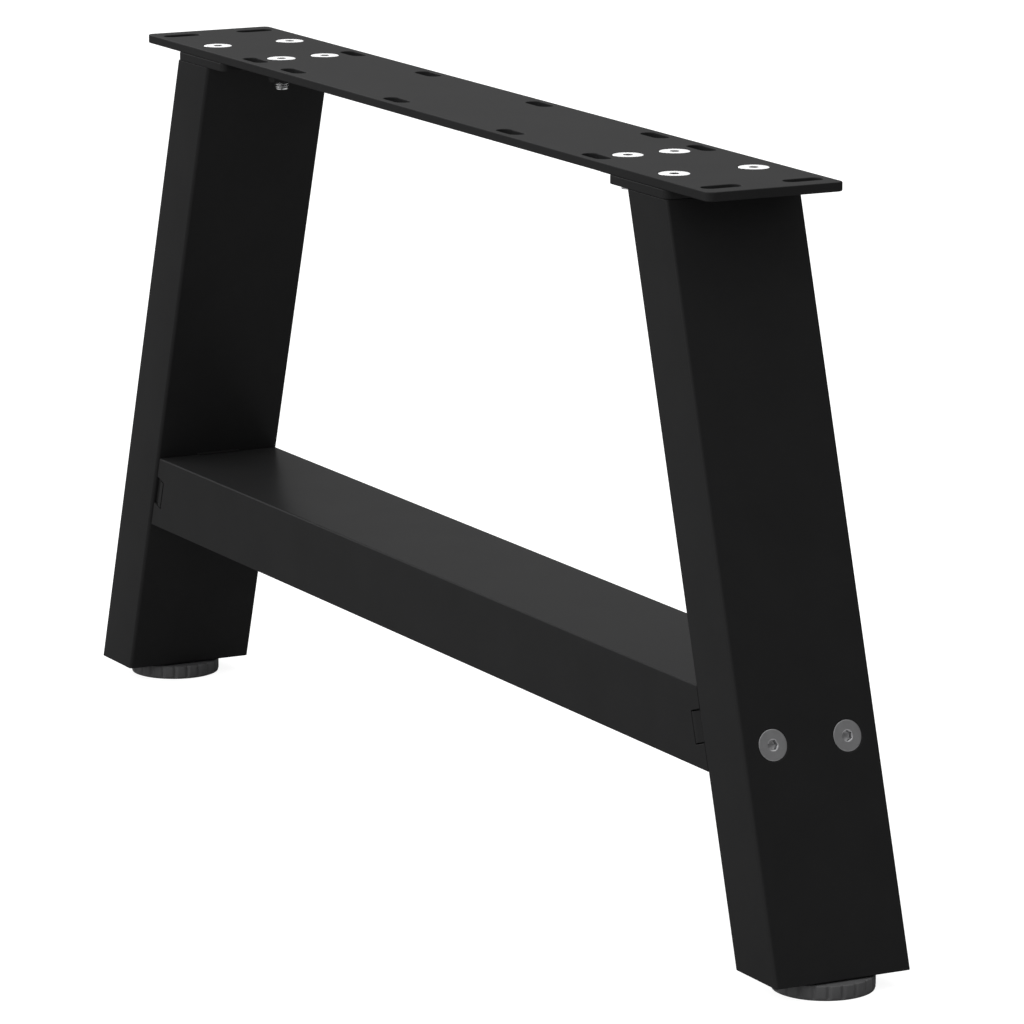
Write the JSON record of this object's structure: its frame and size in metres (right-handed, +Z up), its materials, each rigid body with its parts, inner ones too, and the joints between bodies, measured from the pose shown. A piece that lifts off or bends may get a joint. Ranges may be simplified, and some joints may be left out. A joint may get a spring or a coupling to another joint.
{
  "type": "trestle table leg",
  "caption": "A-shaped steel table leg: slotted top plate on two slanted tubes, a folded crossbar between them and screw-in levelling feet",
  "frame": {"origin": "on the floor under the middle of the frame", "axes": "+X along the top plate, +Y through the frame's depth, +Z up"},
  "size_m": [0.8438, 0.08, 0.406],
  "materials": {
    "black_powder_coat": "fine matt black powder coat on steel",
    "zinc_plated_steel": "bright zinc plating",
    "bolt_steel": "satin grey zinc plating",
    "foot_plastic": "matt dark grey moulded plastic"
  },
  "bodies": {
    "frame": {"top_plate": "black_powder_coat", "crossbar": "black_powder_coat", "left_leg_tube": "black_powder_coat", "left_top_flange": "black_powder_coat", "left_bar_bracket": "black_powder_coat", "left_foot_plate": "black_powder_coat", "left_foot_nut": "zinc_plated_steel", "left_plate_screw_outer_front": "zinc_plated_steel", "left_plate_screw_outer_back": "zinc_plated_steel", "left_plate_screw_inner_front": "zinc_plated_steel", "left_plate_screw_inner_back": "zinc_plated_steel", "left_flange_nut_outer_front": "black_powder_coat", "left_flange_nut_outer_back": "black_powder_coat", "left_flange_nut_inner_front": "black_powder_coat", "left_flange_nut_inner_back": "black_powder_coat", "left_bar_bolt_front": "bolt_steel", "left_bar_bolt_back": "bolt_steel", "left_bar_sleeve_front": "black_powder_coat", "left_bar_sleeve_back": "black_powder_coat", "left_bar_nut_front": "black_powder_coat", "left_bar_nut_back": "black_powder_coat", "right_leg_tube": "black_powder_coat", "right_top_flange": "black_powder_coat", "right_bar_bracket": "black_powder_coat", "right_foot_plate": "black_powder_coat", "right_foot_nut": "zinc_plated_steel", "right_plate_screw_outer_front": "zinc_plated_steel", "right_plate_screw_outer_back": "zinc_plated_steel", "right_plate_screw_inner_front": "zinc_plated_steel", "right_plate_screw_inner_back": "zinc_plated_steel", "right_flange_nut_outer_front": "black_powder_coat", "right_flange_nut_outer_back": "black_powder_coat", "right_flange_nut_inner_front": "black_powder_coat", "right_flange_nut_inner_back": "black_powder_coat", "right_bar_bolt_front": "bolt_steel", "right_bar_bolt_back": "bolt_steel", "right_bar_sleeve_front": "black_powder_coat", "right_bar_sleeve_back": "black_powder_coat", "right_bar_nut_front": "black_powder_coat", "right_bar_nut_back": "black_powder_coat"},
    "left_stud": {"left_foot_stud": "zinc_plated_steel"},
    "left_knob": {"left_foot_knob": "foot_plastic"},
    "right_stud": {"right_foot_stud": "zinc_plated_steel"},
    "right_knob": {"right_foot_knob": "foot_plastic"}
  },
  "joints": [
    {"name": "left_foot_extend", "type": "slide", "parent": "frame", "child": "left_stud", "axis": [0, 0, -1], "range_m": [0, 0.012]},
    {"name": "left_foot_turn", "type": "hinge", "parent": "left_stud", "child": "left_knob", "pos_m": [-0.39486, 0, 0.004], "axis": [0, 0, -1], "range_deg": [0, 2880]},
    {"name": "right_foot_extend", "type": "slide", "parent": "frame", "child": "right_stud", "axis": [0, 0, -1], "range_m": [0, 0.012]},
    {"name": "right_foot_turn", "type": "hinge", "parent": "right_stud", "child": "right_knob", "pos_m": [0.39486, 0, 0.004], "axis": [0, 0, -1], "range_deg": [0, 2880]}
  ],
  "couplings": [
    {"joint": "left_foot_extend", "follows": "left_foot_turn", "m_per_rad": 0.00023873},
    {"joint": "right_foot_extend", "follows": "right_foot_turn", "m_per_rad": 0.00023873}
  ]
}
